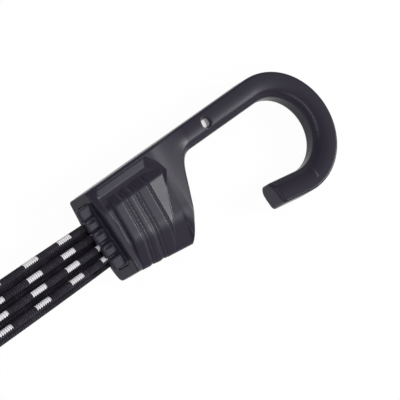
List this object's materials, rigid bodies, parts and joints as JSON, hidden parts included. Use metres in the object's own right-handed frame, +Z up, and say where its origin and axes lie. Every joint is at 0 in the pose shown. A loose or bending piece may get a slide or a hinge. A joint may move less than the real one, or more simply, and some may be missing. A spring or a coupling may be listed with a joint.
{
  "type": "bungee cord",
  "caption": "Elastic tie-down cord: braided latex strands in a flat bundle, with a steel-cored plastic hook with a ribbed casing at each end; the strands stretch and pull the hooks together.",
  "frame": {"origin": "middle of the relaxed cord, on the surface that it lies on", "axes": "+X along the strap towards the near hook, +Y towards the hooks' spines, +Z up from the surface"},
  "size_m": [0.4, 0.0438, 0.0148],
  "materials": {
    "hook_nylon": "satin glass-filled nylon, dark grey with a violet cast",
    "comb_nylon": "satin nylon, dark grey",
    "steel": "plain bent bar",
    "ferrule": "crimped sleeve",
    "textile": "braided black textile with white dashes",
    "latex": "natural latex thread"
  },
  "bodies": {
    "near_hook": {"near_hook_body": "hook_nylon", "near_steel_core": "steel", "near_strand_comb": "comb_nylon", "near_ferrule_1": "ferrule", "near_ferrule_2": "ferrule", "near_ferrule_3": "ferrule", "near_ferrule_4": "ferrule", "near_ferrule_5": "ferrule", "near_ferrule_6": "ferrule", "near_ferrule_7": "ferrule", "near_ferrule_8": "ferrule", "strand_cover_1": "textile", "strand_cover_2": "textile", "strand_cover_3": "textile", "strand_cover_4": "textile", "strand_cover_5": "textile", "strand_cover_6": "textile", "strand_cover_7": "textile", "strand_cover_8": "textile", "strand_core_1": "latex", "strand_core_2": "latex", "strand_core_3": "latex", "strand_core_4": "latex", "strand_core_5": "latex", "strand_core_6": "latex", "strand_core_7": "latex", "strand_core_8": "latex"},
    "far_hook": {"far_hook_body": "hook_nylon", "far_steel_core": "steel", "far_strand_comb": "comb_nylon", "far_ferrule_1": "ferrule", "far_ferrule_2": "ferrule", "far_ferrule_3": "ferrule", "far_ferrule_4": "ferrule", "far_ferrule_5": "ferrule", "far_ferrule_6": "ferrule", "far_ferrule_7": "ferrule", "far_ferrule_8": "ferrule"}
  },
  "joints": [
    {"name": "stretch", "type": "slide", "parent": "near_hook", "child": "far_hook", "axis": [-1, 0, 0], "range_m": [0, 0.19], "stiffness_N_per_m": 420, "deforming": ["strand_cover_1", "strand_cover_2", "strand_cover_3", "strand_cover_4", "strand_cover_5", "strand_cover_6", "strand_cover_7", "strand_cover_8", "strand_core_1", "strand_core_2", "strand_core_3", "strand_core_4", "strand_core_5", "strand_core_6", "strand_core_7", "strand_core_8"]}
  ]
}
